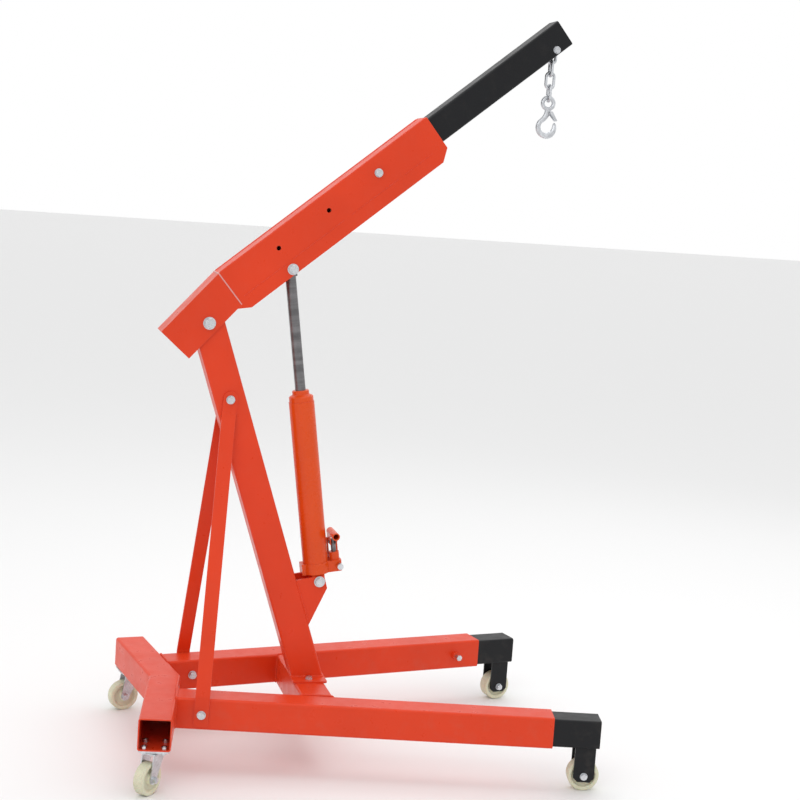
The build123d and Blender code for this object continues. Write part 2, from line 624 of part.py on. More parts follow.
def build_ram_cylinder():
    collar = turned([(0, 21), (43, 21), (45, 23), (45, 56), (43, 58), (0, 58)])
    block = collar + jack_box(-50, 84, BLOCK_HALF, 21, 58)
    block = fillet(block.edges().filter_by(Axis(JACK_LOW, JACK_UP)).sort_by(Axis.X)[-2:], 8)
    lug = across(JACK_LOW, CHEEK_INSIDE - 0.5, 40)
    lug += jack_box(-20, 20, CHEEK_INSIDE - 0.5, 0, 24)
    block += lug
    block += turned([(0, 50), (RESERVOIR_D / 2 - 4.2, 50), (RESERVOIR_D / 2 - 4.2, 63), (0, 63)])
    block -= turned([(0, 56), (PRESSURE_D / 2, 56), (PRESSURE_D / 2, 70), (0, 70)])
    block -= across(JACK_LOW, 100, RAM_BOLT_D + 0.15)
    barrel = rod(jack_point(PUMP_X, 0, 55), jack_point(PUMP_X, 0, 84), 34)
    block += barrel
    block -= rod(jack_point(PUMP_X, 0, 34), jack_point(PUMP_X, 0, 90), PLUNGER_D + 0.16)
    for e in (PUMP_X - 18, PUMP_X + 12):
        ear = jack_box(e, e + 6, 7, 50, PLUNGER_PIN + 9)
        block += Pos(0, LEVER_ARM, 0) * ear
    pin_low = jack_point(PUMP_X - 20, LEVER_ARM, PLUNGER_PIN)
    pin_high = jack_point(PUMP_X + 20, LEVER_ARM, PLUNGER_PIN)
    block += Pos(0, LEVER_ARM, 0) * jack_box(PUMP_X - 18, PUMP_X + 18, 7, 46, 58)
    block -= rod(pin_low, pin_high, 8)
    seat = jack_point(VALVE_AXIS[0], -BLOCK_HALF, VALVE_AXIS[1])
    block -= rod(seat - Vector(0, 1, 0), seat + Vector(0, 10, 0), VALVE_D + 0.1)
    parts["ram_base_block"] = block
    outer = RESERVOIR_D / 2
    parts["ram_reservoir"] = turned([(outer - 4, 58), (outer, 58), (outer, JACK_BODY_TOP),
                                     (outer - 4, JACK_BODY_TOP)])
    parts["ram_pressure_tube"] = turned([(CYLINDER_BORE / 2, 56), (PRESSURE_D / 2, 56),
                                         (PRESSURE_D / 2, 598), (CYLINDER_BORE / 2, 598)])
    bore = RAM_D / 2 + 0.1
    top = JACK_BODY_TOP
    parts["ram_cap"] = turned([(bore, 598), (PRESSURE_D / 2, 598), (PRESSURE_D / 2, top - 12),
                               (outer - 4, top - 12), (outer - 4, top), (outer - 2, top),
                               (outer - 2, top + 16), (outer - 5, top + 19), (30, top + 22),
                               (27.5, top + 24), (27.5, top + 35), (25.5, top + 37),
                               (bore, top + 37)])
    pin = rod(pin_low + JACK_FORWARD * 2, pin_high - JACK_FORWARD * 2, 8)
    parts["pump_lever_pin"] = pin
    knob_face = jack_point(VALVE_AXIS[0], -BLOCK_HALF, VALVE_AXIS[1])
    out = Vector(0, -1, 0)
    valve = rod(knob_face - out * 8, knob_face + out * 8, VALVE_D)
    valve += rod(knob_face + out * 8, knob_face + out * 24, 20)
    valve -= rod(knob_face + out * 16 - JACK_UP * 12, knob_face + out * 16 + JACK_UP * 12, 5)
    parts["release_valve"] = valve


def build_ram_rod():
    """Ram with its piston below and its eye above, measured down from the top pin."""
    top = JACK_LENGTH
    piston_low = top - 622
    bar = turned([(0, piston_low), (CYLINDER_BORE / 2 - 0.1, piston_low),
                  (CYLINDER_BORE / 2 - 0.1, piston_low + 30), (RAM_D / 2, piston_low + 32),
                  (RAM_D / 2, top - 22), (0, top - 22)])
    eye = across(JACK_HIGH, RAM_EYE_WIDTH / 2, RAM_D)
    eye += jack_box(-17, 17, RAM_EYE_WIDTH / 2, top - 24, top)
    eye -= across(JACK_HIGH, 100, RAM_BOLT_D)
    parts["ram_rod"] = bar + eye
    parts["ram_top_shank"] = across(JACK_HIGH, BOOM_TUBE / 2 - 0.5, RAM_BOLT_D)


def build_pump():
    low, high = 48.0, PLUNGER_PIN + 8
    plunger = rod(jack_point(PUMP_X, 0, low), jack_point(PUMP_X, 0, high), PLUNGER_D)
    pin_low = jack_point(PUMP_X - 15, 0, PLUNGER_PIN)
    pin_high = jack_point(PUMP_X + 15, 0, PLUNGER_PIN)
    plunger -= rod(pin_low, pin_high, 7)
    parts["pump_plunger"] = group([plunger, rod(pin_low, pin_high, 7)])

    lever = None
    for e in (PUMP_X - 11.4, PUMP_X + 8.6):
        outline = [(-14, PLUNGER_PIN - 9), (-14, SOCKET_UP + 2), (LEVER_ARM + 9, SOCKET_UP + 2),
                   (LEVER_ARM + 9, PLUNGER_PIN - 9)]
        face = Plane(origin=jack_point(e, 0, 0), x_dir=Vector(0, 1, 0), z_dir=JACK_FORWARD)
        cheek = extrude(face * outline_of(*outline), 2.8)
        lever = cheek if lever is None else lever + cheek
    tube_low = jack_point(PUMP_X, LEVER_ARM + 6, SOCKET_UP)
    tube_high = jack_point(PUMP_X, -66, SOCKET_UP)
    lever += rod(tube_low, tube_high, SOCKET_BORE + 7)
    lever -= rod(jack_point(PUMP_X, LEVER_ARM - 12, SOCKET_UP), tube_high, SOCKET_BORE)
    pivot_low = jack_point(PUMP_X - 30, LEVER_ARM, PLUNGER_PIN)
    pivot_high = jack_point(PUMP_X + 30, LEVER_ARM, PLUNGER_PIN)
    lever -= rod(pivot_low, pivot_high, 8.2)
    slot = jack_box(PUMP_X - 30, PUMP_X + 30, 6.5, PLUNGER_PIN - 4.4, PLUNGER_PIN + 4.4)
    lever -= slot
    parts["pump_handle_socket"] = lever


# ---- chain, hook and latch --------------------------------------------------------------------
def link():
    """Chain link in the XZ plane, centred on the origin and upright."""
    bend = (LINK_WIDTH - WIRE) / 2
    straight = LINK_PITCH + WIRE - 2 * bend
    ring = revolve(Plane.XY * Pos(bend, 0, 0) * Circle(WIRE / 2), Axis.Y, 180)
    top = Pos(0, 0, straight / 2) * Rot(0, 180, 0) * ring
    low = Pos(0, 0, -straight / 2) * ring
    body = top + low
    for x in (-bend, bend):
        body += Pos(x, 0, 0) * Cylinder(WIRE / 2, straight)
    return body


def link_centres():
    """Height of each link's centre below the chain pin."""
    inside = LINK_PITCH / 2
    first = inside - CHAIN_PIN_D / 2 - LINK_GAP
    return [first + step * (LINK_PITCH - LINK_GAP) for step in range(4)]


def build_chain():
    for number, drop in enumerate(link_centres()):
        turn = Rot(0, 0, 90) if number % 2 else Rot(0, 0, 0)
        place = Pos(CHAIN_PIN.X, 0, CHAIN_PIN.Z - drop)
        parts["chain_link_" + str(number + 1)] = place * turn * link()


def hook_origin():
    """Middle of the hook's eye."""
    drop = link_centres()[-1] + LINK_PITCH / 2 + EYE_HOLE - LINK_GAP
    return Vector(CHAIN_PIN.X, 0, CHAIN_PIN.Z - drop)


def build_hook():
    place = Pos(*hook_origin())
    eye = Rot(90, 0, 0) * Torus(EYE_HOLE + EYE_WIRE, EYE_WIRE)
    bowl = Pos(1, -BOWL_DROP - 2) * Circle(39)
    shank = outline_of((-13, -18), (13, -18), (8, -38), (-9, -60), (-16, -78), (-38, -80),
                       (-36, -62), (-26, -42))
    throat = outline_of((0, -BOWL_DROP), (60, -54), (60, 0), (10, -30), (4, -46), (-9, -62))
    outline = bowl - throat + shank
    outline -= Pos(0, -BOWL_DROP) * Circle(BOWL_R)
    outline -= Circle(EYE_HOLE + EYE_WIRE)
    body = Pos(0, HOOK_THICK / 2, 0) * extrude(Plane.XZ * outline, HOOK_THICK)
    body += eye
    pivot = Vector(*LATCH_PIVOT)
    body -= across(pivot, 100, 5)
    rivet = across(pivot, HOOK_THICK / 2 + 3.4, 4.9)
    parts["hook"] = group([place * body, place * rivet])
    wide = HOOK_THICK / 2 + 0.4
    strap_outline = [(6, -26), (15, -26), (33, -55), (29, -57), (9, -36)]
    ears = plate(strap_outline, wide, 2) + plate(strap_outline, -wide - 2, 2)
    cross = [(15.0, -34), (16.6, -33), (33, -55), (29.6, -56.4)]
    strap = ears + plate(cross, -wide, 2 * wide)
    strap -= across(pivot, 100, 5.1)
    parts["hook_latch"] = place * strap


def build_all():
    build_rear_beam()
    build_leg()
    build_leg_locks()
    build_cross_beam()
    build_mast()
    build_cheeks()
    build_brace()
    build_rear_casters()
    build_leg_extension()
    build_boom()
    build_boom_extension()
    build_ram_cylinder()
    build_ram_rod()
    build_pump()
    build_chain()
    build_hook()


build_all()
os.makedirs("parts", exist_ok=True)
for name, shape in parts.items():
    export_step(Pos(-FOOTPRINT_CENTRE_X, 0, 0) * shape, "parts/" + name + ".step")
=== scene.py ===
"""Finishes, weld beads, turned wheels and forged hook of a workshop engine crane, and its studio.

Everything is in metres in the crane's own frame: +X forward, +Y left, +Z up, floor at Z = 0.
"""
import json

import bpy
import numpy as np
from mathutils import Matrix, Vector


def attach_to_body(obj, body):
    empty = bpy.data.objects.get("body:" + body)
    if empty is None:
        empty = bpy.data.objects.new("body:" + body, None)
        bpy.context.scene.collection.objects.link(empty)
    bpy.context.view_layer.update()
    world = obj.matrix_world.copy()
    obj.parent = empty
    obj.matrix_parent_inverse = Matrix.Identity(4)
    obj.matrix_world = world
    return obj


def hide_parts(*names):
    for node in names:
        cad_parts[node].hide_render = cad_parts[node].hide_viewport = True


bl_info = {
    "name": "Engine Crane Finish",
    "version": (1, 0, 0),
    "blender": (4, 5, 0),
    "location": "View3D > Sidebar > Crane",
    "description": "Paint, plating, welds, wheels and hook of a workshop engine crane",
    "category": "Object",
}

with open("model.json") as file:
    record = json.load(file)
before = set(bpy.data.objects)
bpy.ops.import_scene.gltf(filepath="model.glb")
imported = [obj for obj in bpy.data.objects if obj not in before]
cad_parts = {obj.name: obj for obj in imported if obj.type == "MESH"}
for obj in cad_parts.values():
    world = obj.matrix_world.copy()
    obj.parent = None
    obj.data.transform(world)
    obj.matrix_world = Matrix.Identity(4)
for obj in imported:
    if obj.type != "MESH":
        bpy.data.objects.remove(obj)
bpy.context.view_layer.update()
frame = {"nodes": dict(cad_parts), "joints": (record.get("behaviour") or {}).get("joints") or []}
JOINTS = {joint["name"]: joint for joint in frame["joints"]}

# ---- dimensions shared by the pieces below ----------------------------------------------------
LAYOUT_X = -0.2901                    # X of the layout's zero plane, near the mast
LEG_SPLAY = np.radians(12.2)
LEG_Y = 0.250                         # leg centre line at the layout's zero plane
ARM_SWEEP = np.radians(9.5)
ARM_APEX = -0.357                     # rear corner of the V, in the layout
TUBE = 0.100                          # side of the square base and mast tubes
TUBE_TOP = 0.240
TUBE_BOTTOM = TUBE_TOP - TUBE
TUBE_CORNER = 0.008
MAST_LEAN = np.radians(18.6)
MAST_FOOT = np.array((LAYOUT_X + 0.155, 0.0, 0.246))
BRACKET_FACES = (-0.046, -0.038, 0.038, 0.046)
BRACKET_SEAM = (0.424, 0.563)         # lower and upper end of each ram bracket's seam
BOOM_SLOPE = np.radians(40.0)
REAR_SLOPE = np.radians(48.5)
PIVOT_BACK = 0.131                    # boom's pivot behind the kink, along the rear part
PIVOT_DEPTH = 0.089                   # boom's pivot below the rear part's top face
BOOM_HALF = 0.058                     # half width over the boom's side plates
BOOM_TUBE_HALF = 0.052
BOOM_LENGTH = 0.830
KINK_SEAM_DEPTH = 0.121
SIDE_SEAM_DEPTH = 0.104
TOP_BEAD_DEPTH = 0.0012
TOP_BEAD_GAP = 0.004                  # from each end of the boom's main part
SIDE_SEAM_RUNS = ((0.022, 0.190), (0.215, 0.420), (0.450, 0.640), (0.665, 0.775))
CROSS_X = (0.103, 0.203)              # rear and front faces of the cross beam, in the layout
WHEEL_RADIUS = 0.050
WHEEL_BORE = 0.0061                   # radius of the axle's bore
WHEEL_HUB = 0.0165                    # radius of the hub's face
WHEEL_RIM = 0.0375                    # inner radius of the rim's flat side
WHEEL_RECESS = 0.0070                 # depth of the recess between hub and rim
WHEEL_ENDS = (("front", 0.022, 0.0245), ("rear", 0.017, 0.0185))   # half tread, half hub
FORK_HALF = 0.031                     # half width over the front fork plates
FORK_SEAM_HALF = 0.031
FORK_SEAM_Z = 0.155
EYE_TO_LATCH = np.array((0.010, 0.0, -0.031))
EYE_TO_BOWL = np.array((0.0, 0.0, -0.078))
EYE_MIDDLE = 0.01875                  # radius of the middle of the eye's wire
EYE_WIRE = 0.00675
BOWL_MIDDLE = 0.0275                  # radius of the middle of the bowl's section
BOWL_SWEEP = (142, 392)               # degrees from the shank's foot round to the point
POINT_FROM = 330                      # degrees at which the point begins to lean out
POINT_LEAN = 0.0035
# Half thickness of the hook in its own plane and across it, at shares of its length.
HOOK_WIDE = ((0, 0.0105), (0.2, 0.0078), (0.45, 0.0090), (0.72, 0.0105), (0.95, 0.0070),
             (0.985, 0.0050), (1, 0.0010))
HOOK_TALL = ((0, 0.0066), (0.2, 0.0072), (0.6, 0.0082), (0.9, 0.0072), (0.97, 0.0050),
             (1, 0.0010))

FLOOR_SIZE = 160.0
SURROUND_LIGHT = 0.92                 # how strongly the white surround lights the crane
SOFTBOX_TARGET = (0.0, 0.0, 1.1)
SOFTBOXES = (("key softbox", (-2.6, -4.2, 4.8), 3.0, 42),       # name, place, side, power
             ("top softbox", (0.4, 0.6, 5.2), 3.5, 60),
             ("rear softbox", (3.6, 3.0, 3.4), 2.6, 14))
CAMERA_PLACE = (-1.2067, -5.0415, 1.8125)
CAMERA_YAW, CAMERA_PITCH, CAMERA_ROLL = 14.82, 7.06, 4.01
CAMERA_LENS = 71.9

RED_NODES = ("rear_beam", "leg_left", "leg_right", "cross_beam", "mast", "mast_foot_plate",
             "ram_bracket_left", "ram_bracket_right", "brace_left", "brace_right", "boom_tube",
             "boom_side_left", "boom_side_right", "boom_rear_channel", "leg_lock_nuts")
BLACK_NODES = ("leg_extension_left", "leg_extension_right", "front_fork_left",
               "front_fork_right", "boom_extension")
JACK_NODES = ("ram_base_block", "ram_reservoir", "ram_cap", "pump_handle_socket")
BOLT_NODES = ("mast_foot_bolts", "ram_base_bolt", "brace_top_bolt", "brace_foot_bolts",
              "caster_mount_bolts", "leg_lock_bolts", "front_axle_left", "front_axle_right",
              "rear_axle_left", "rear_axle_right", "boom_pivot_bolt", "ram_top_bolt",
              "boom_lock_bolt", "boom_lock_shank", "chain_pin", "pump_lever_pin",
              "release_valve", "ram_top_shank")
SHEET_NODES = ("caster_plate_left", "caster_plate_right", "rear_fork_left", "rear_fork_right",
               "hook_latch", "chain_link_1", "chain_link_2", "chain_link_3", "chain_link_4")
STEEL_NODES = ("mast_pivot_bush", "ram_pressure_tube", "ram_rod", "pump_plunger")


# ---- sizes and colours a user may change ------------------------------------------------------
class CraneColours(bpy.types.PropertyGroup):
    """Colours of the crane's finishes."""
    frame_paint: bpy.props.FloatVectorProperty(
        name="Frame paint", description="Red-orange enamel of the frame and boom",
        subtype="COLOR", size=3, min=0.0, max=1.0, default=(0.70, 0.048, 0.011))
    jack_paint: bpy.props.FloatVectorProperty(
        name="Jack paint", description="Orange enamel of the hydraulic ram",
        subtype="COLOR", size=3, min=0.0, max=1.0, default=(0.70, 0.070, 0.007))
    black_paint: bpy.props.FloatVectorProperty(
        name="Extension paint", description="Satin black of the sliding extensions",
        subtype="COLOR", size=3, min=0.0, max=1.0, default=(0.007, 0.0075, 0.009))
    nylon: bpy.props.FloatVectorProperty(
        name="Wheel nylon", description="Cream nylon of the wheels",
        subtype="COLOR", size=3, min=0.0, max=1.0, default=(0.70, 0.68, 0.50))
    zinc: bpy.props.FloatVectorProperty(
        name="Zinc plating", description="Bolts, casters, chain and hook",
        subtype="COLOR", size=3, min=0.0, max=1.0, default=(0.76, 0.78, 0.81))
    bare_steel: bpy.props.FloatVectorProperty(
        name="Ram steel", description="Ground bar of the ram and plain turned pieces",
        subtype="COLOR", size=3, min=0.0, max=1.0, default=(0.20, 0.195, 0.20))


class CraneSizes(bpy.types.PropertyGroup):
    """Sizes of the pieces made here."""
    bead: bpy.props.FloatProperty(
        name="Weld bead", description="Radius of the frame's weld beads",
        unit="LENGTH", subtype="DISTANCE", min=0.001, max=0.006, default=0.0040)
    ripple: bpy.props.FloatProperty(
        name="Ripple", description="Distance between the ripples of a weld bead",
        unit="LENGTH", subtype="DISTANCE", min=0.001, max=0.010, default=0.0046)
    seam: bpy.props.FloatProperty(
        name="Seam mark", description="Radius of the fine seam along each boom side plate",
        unit="LENGTH", subtype="DISTANCE", min=0.0003, max=0.003, default=0.0010)
    wheel_corner: bpy.props.FloatProperty(
        name="Tread corner", description="Rounding of each nylon wheel's outer corners",
        unit="LENGTH", subtype="DISTANCE", min=0.001, max=0.008, default=0.0055)
    wheel_facets: bpy.props.IntProperty(
        name="Wheel facets", description="Steps round each wheel", min=24, max=256, default=96)


# ---- surfaces ---------------------------------------------------------------------------------
def new_piece(name, points, faces):
    """Mesh object at the origin; faces are turned outwards by the sign of the enclosed volume."""
    points = np.asarray(points, float)
    corners = [points[np.asarray([face[i] for face in faces])] for i in range(3)]
    volume = np.einsum("ij,ij->i", corners[0], np.cross(corners[1], corners[2])).sum()
    if volume < 0:
        faces = [face[::-1] for face in faces]
    mesh = bpy.data.meshes.new(name)
    mesh.from_pydata(points.tolist(), [], faces)
    mesh.validate()
    mesh.polygons.foreach_set("use_smooth", np.full(len(mesh.polygons), True))
    mesh.update()
    piece = bpy.data.objects.new(name, mesh)
    bpy.context.scene.collection.objects.link(piece)
    return piece


def grid_faces(rows, columns, wrap_rows):
    """Quads of a grid whose columns close on themselves, and whose rows may do so too."""
    row = np.arange(rows if wrap_rows else rows - 1)[:, None]
    column = np.arange(columns)[None, :]
    ahead, beside = (row + 1) % rows, (column + 1) % columns
    quads = np.stack([row * columns + column, row * columns + beside,
                      ahead * columns + beside, ahead * columns + column], axis=-1)
    return quads.reshape(-1, 4).tolist()


def strand(path, binormal, wide, tall=None, sides=10, closed=False):
    """Points and faces of an oval section carried along a flat path.

    A point is the path's point plus wide * cos(a) along the normal and tall * sin(a) along the
    binormal, with a going once round; open ends are drawn in to a pole.
    """
    path = np.asarray(path, float)
    binormal = np.asarray(binormal, float) / np.linalg.norm(binormal)
    wide = np.broadcast_to(np.asarray(wide, float), len(path))
    tall = wide if tall is None else np.broadcast_to(np.asarray(tall, float), len(path))
    if closed:
        along = np.roll(path, -1, 0) - np.roll(path, 1, 0)
    else:
        along = np.gradient(path, axis=0)
    normal = np.cross(binormal, along)
    normal /= np.linalg.norm(normal, axis=1)[:, None]
    turn = np.linspace(0, 2 * np.pi, sides, endpoint=False)
    points = (path[:, None] + (wide[:, None] * np.cos(turn))[..., None] * normal[:, None]
              + (tall[:, None] * np.sin(turn))[..., None] * binormal)
    points = points.reshape(-1, 3)
    faces = grid_faces(len(path), sides, closed)
    if closed:
        return points, faces
    low, high = len(points), len(points) + 1
    last = len(points) - sides
    ring = np.arange(sides)
    beside = (ring + 1) % sides
    faces += np.stack([beside, ring, np.full(sides, low)], -1).tolist()
    faces += np.stack([last + ring, last + beside, np.full(sides, high)], -1).tolist()
    return np.vstack([points, path[:1], path[-1:]]), faces


def curve(first, corner, last, blend):
    """Quadratic curve from first to last that leans towards corner, at each blend of 0 to 1."""
    return (1 - blend) ** 2 * first + 2 * blend * (1 - blend) * corner + blend ** 2 * last


def even_path(corners, radius, spacing, closed=False):
    """Polyline with rounded corners, resampled evenly.

    Each inner corner is a quadratic curve between the points one radius before and after it.
    """
    corners = np.asarray(corners, float)
    if closed:
        corners = np.vstack([(corners[:1] + corners[-1:]) / 2, corners,
                             (corners[:1] + corners[-1:]) / 2])
    pieces = [corners[:1]]
    blend = np.linspace(0, 1, 9)[:, None]
    for before, corner, after in zip(corners[:-2], corners[1:-1], corners[2:]):
        cut = [min(radius, 0.45 * np.linalg.norm(end - corner)) for end in (before, after)]
        enter = corner + (before - corner) / np.linalg.norm(before - corner) * cut[0]
        leave = corner + (after - corner) / np.linalg.norm(after - corner) * cut[1]
        pieces.append(curve(enter, corner, leave, blend))
    pieces.append(corners[-1:])
    line = np.vstack(pieces)
    keep = np.r_[True, np.linalg.norm(np.diff(line, axis=0), axis=1) > 1e-7]
    line = line[keep]
    length = np.r_[0, np.cumsum(np.linalg.norm(np.diff(line, axis=0), axis=1))]
    count = max(int(length[-1] / spacing), 4)
    where = np.linspace(0, length[-1], count, endpoint=not closed)
    return np.stack([np.interp(where, length, line[:, i]) for i in range(3)], -1)


def bead(corners, binormal, radius, ripple, rounding=0.006, closed=False):
    """Weld bead: a strand whose radius swells once per ripple and tapers at its open ends.

    radius * (0.86 + 0.14 |sin(pi s / ripple)|), with s the distance along the bead.
    """
    path = even_path(corners, rounding, ripple / 4, closed)
    step = np.linalg.norm(path[1] - path[0])
    travelled = np.arange(len(path)) * step
    wide = radius * (0.86 + 0.14 * np.abs(np.sin(np.pi * travelled / ripple)))
    if not closed:
        end = np.minimum(travelled, travelled[-1] - travelled)
        wide = wide * np.sqrt(np.clip(end / radius, 0.02, 1))
    return strand(path, binormal, wide, closed=closed)


def gather(shapes):
    """One set of points and faces from several, each numbered from nought."""
    points, faces, start = [], [], 0
    for shape_points, shape_faces in shapes:
        points.append(shape_points)
        faces += [[i + start for i in face] for face in shape_faces]
        start += len(shape_points)
    return np.vstack(points), faces


def turned(profile, place, axis, facets):
    """Body of revolution of a closed profile of (radius, height along the axis)."""
    axis = np.asarray(axis, float) / np.linalg.norm(axis)
    side = np.cross(axis, (0.0, 0.0, 1.0) if abs(axis[2]) < 0.9 else (1.0, 0.0, 0.0))
    side /= np.linalg.norm(side)
    up = np.cross(axis, side)
    turn = np.linspace(0, 2 * np.pi, facets, endpoint=False)[:, None, None]
    profile = np.asarray(profile, float)
    around = np.cos(turn) * side + np.sin(turn) * up
    points = np.asarray(place) + profile[None, :, :1] * around + profile[None, :, 1:] * axis
    return points.reshape(-1, 3), grid_faces(facets, len(profile), True)


def rounded_profile(corners, radii, steps=6):
    """Closed outline with each corner replaced by a quadratic curve of its own radius."""
    corners = np.asarray(corners, float)
    before, after = np.roll(corners, 1, 0), np.roll(corners, -1, 0)
    blend = np.linspace(0, 1, steps)[:, None]
    out = []
    for corner, ahead, behind, radius in zip(corners, after, before, radii):
        enter = behind - corner
        leave = ahead - corner
        cut_in = min(radius, 0.45 * np.linalg.norm(enter)) / np.linalg.norm(enter)
        cut_out = min(radius, 0.45 * np.linalg.norm(leave)) / np.linalg.norm(leave)
        first, last = corner + enter * cut_in, corner + leave * cut_out
        out.append(curve(first, corner, last, blend))
    return np.vstack(out)


# ---- shader nodes -----------------------------------------------------------------------------
def add(tree, kind, inputs=None, **settings):
    """New node; each input is a constant or a socket to link."""
    made = tree.nodes.new(kind)
    for key, value in settings.items():
        setattr(made, key, value)
    for key, value in (inputs or {}).items():
        if isinstance(value, bpy.types.NodeSocket):
            tree.links.new(value, made.inputs[key])
        else:
            made.inputs[key].default_value = value
    return made


def new_group(name, inputs):
    """Shader node group that gives Color, Roughness and Height; its tree and two end nodes."""
    tree = bpy.data.node_groups.new(name, "ShaderNodeTree")
    for label, kind, value in inputs:
        socket = tree.interface.new_socket(label, in_out="INPUT", socket_type=kind)
        socket.default_value = value
    for label, kind in (("Color", "NodeSocketColor"), ("Roughness", "NodeSocketFloat"),
                        ("Height", "NodeSocketFloat")):
        tree.interface.new_socket(label, in_out="OUTPUT", socket_type=kind)
    return tree, tree.nodes.new("NodeGroupInput"), tree.nodes.new("NodeGroupOutput")


def finish_group(tree, leave, colour, rough, height):
    """Links a group's three results to its outputs."""
    for key, value in (("Color", colour), ("Roughness", rough), ("Height", height)):
        tree.links.new(value, leave.inputs[key])
    return tree


def noise(tree, place, scale, detail=3.0, rough=0.5):
    """Fractal noise of 0 to 1 at a place."""
    return add(tree, "ShaderNodeTexNoise", {"Vector": place, "Scale": scale, "Detail": detail,
                                            "Roughness": rough}).outputs["Fac"]


def remap(tree, value, low, high, to_low=0.0, to_high=1.0):
    """Value carried from low..high to to_low..to_high and held between them."""
    return add(tree, "ShaderNodeMapRange", {"Value": value, "From Min": low, "From Max": high,
                                            "To Min": to_low, "To Max": to_high}).outputs[0]


def maths(tree, operation, first, second):
    """Sum, product or other operation on two values or sockets."""
    return add(tree, "ShaderNodeMath", {0: first, 1: second}, operation=operation).outputs[0]


def mix(tree, share, first, second):
    """Colour from first, at a share of 0, to second, at 1."""
    return add(tree, "ShaderNodeMix", {0: share, 6: first, 7: second},
               data_type="RGBA").outputs[2]


def near_floor(tree, place, top, most):
    """Share of floor dust, from most at the floor to nothing at height top."""
    height = add(tree, "ShaderNodeSeparateXYZ", {0: place}).outputs["Z"]
    return remap(tree, height, 0.0, top, most, 0.0)


def edge_share(tree, radius):
    """1 on an outer edge and 0 on the flats: how far a rounded normal leans from the true one."""
    soft = add(tree, "ShaderNodeBevel", {"Radius": radius}, samples=4).outputs["Normal"]
    true = add(tree, "ShaderNodeNewGeometry").outputs["True Normal"]
    same = add(tree, "ShaderNodeVectorMath", {0: soft, 1: true}, operation="DOT_PRODUCT")
    return remap(tree, same.outputs["Value"], 0.97, 0.80)


def make_enamel_group():
    """Sprayed enamel: orange peel, slow tone drift, grime, floor dust, and paler edges that are
    partly wear and partly a painted highlight.
    """
    tree, entry, leave = new_group(
        "Sprayed enamel",
        [("Paint", "NodeSocketColor", (1, 1, 1, 1)), ("Worn and highlit", "NodeSocketColor", (1, 1, 1, 1)),
         ("Dust", "NodeSocketColor", (0.32, 0.27, 0.22, 1)),
         ("Peel scale", "NodeSocketFloat", 420.0), ("Gloss", "NodeSocketFloat", 0.3),
         ("Edge wear and highlight", "NodeSocketFloat", 0.3), ("Grime", "NodeSocketFloat", 0.3)])
    place = add(tree, "ShaderNodeTexCoord").outputs["Object"]
    peel = noise(tree, place, entry.outputs["Peel scale"], 2.0)
    drift = noise(tree, place, 4.0, 3.0)
    smear = noise(tree, place, 22.0, 6.0, 0.65)
    scuffs = noise(tree, place, 160.0, 4.0, 0.7)
    tone = add(tree, "ShaderNodeHueSaturation",
               {"Value": remap(tree, drift, 0.3, 0.7, 0.94, 1.05),
                "Color": entry.outputs["Paint"]}).outputs["Color"]
    # Paler edges: partly worn paint, partly a painted highlight along the edges.
    edge = maths(tree, "MULTIPLY", edge_share(tree, 0.0022), remap(tree, scuffs, 0.42, 0.62))
    edge = maths(tree, "MULTIPLY", edge, entry.outputs["Edge wear and highlight"])
    colour = mix(tree, edge, tone, entry.outputs["Worn and highlit"])
    low = near_floor(tree, place, 0.32, 0.55)
    dust = maths(tree, "MULTIPLY", remap(tree, smear, 0.50, 0.78),
                 maths(tree, "ADD", low, 0.12))
    dust = maths(tree, "MULTIPLY", dust, entry.outputs["Grime"])
    colour = mix(tree, dust, colour, entry.outputs["Dust"])
    rough = maths(tree, "ADD", entry.outputs["Gloss"], remap(tree, smear, 0.35, 0.7, -0.05, 0.10))
    rough = maths(tree, "ADD", rough, maths(tree, "MULTIPLY", edge, 0.2))
    height = maths(tree, "ADD", maths(tree, "MULTIPLY", peel, 0.5),
                   maths(tree, "MULTIPLY", drift, 2.0))
    return finish_group(tree, leave, colour, rough, height)


def make_plating_group():
    """Zinc plating: small crystal patches, dull film, handling marks, and edges brightened as a
    painted highlight that also stands for rubbed plating.
    """
    tree, entry, leave = new_group(
        "Zinc plating",
        [("Metal", "NodeSocketColor", (0.6, 0.6, 0.6, 1)), ("Grain", "NodeSocketFloat", 260.0),
         ("Dull", "NodeSocketFloat", 0.32)])
    place = add(tree, "ShaderNodeTexCoord").outputs["Object"]
    patch = add(tree, "ShaderNodeTexVoronoi", {"Vector": place,
                                               "Scale": entry.outputs["Grain"]})
    shade = add(tree, "ShaderNodeSeparateColor", {0: patch.outputs["Color"]}).outputs[0]
    film = noise(tree, place, 45.0, 5.0, 0.6)
    edge = edge_share(tree, 0.0007)
    value = maths(tree, "ADD", remap(tree, shade, 0.0, 1.0, 0.84, 1.0),
                  remap(tree, film, 0.35, 0.7, 0.0, -0.22))
    # Brighter edges: a painted highlight, partly rubbed plating.
    value = maths(tree, "ADD", value, maths(tree, "MULTIPLY", edge, 0.22))
    tone = add(tree, "ShaderNodeHueSaturation",
               {"Value": value, "Color": entry.outputs["Metal"]}).outputs["Color"]
    rough = maths(tree, "ADD", entry.outputs["Dull"],
                  maths(tree, "ADD", remap(tree, shade, 0.0, 1.0, -0.05, 0.06),
                        remap(tree, film, 0.3, 0.7, -0.04, 0.14)))
    rough = maths(tree, "SUBTRACT", rough, maths(tree, "MULTIPLY", edge, 0.08))
    height = maths(tree, "ADD", maths(tree, "MULTIPLY", shade, 0.3), film)
    return finish_group(tree, leave, tone, rough, height)


def new_material(name, constants):
    """Material with constants on its shader; returns it, its tree and its shader."""
    material = bpy.data.materials.new(name)
    material.use_nodes = True
    shader = material.node_tree.nodes["Principled BSDF"]
    for key, value in constants.items():
        shader.inputs[key].default_value = value
    return material, material.node_tree, shader


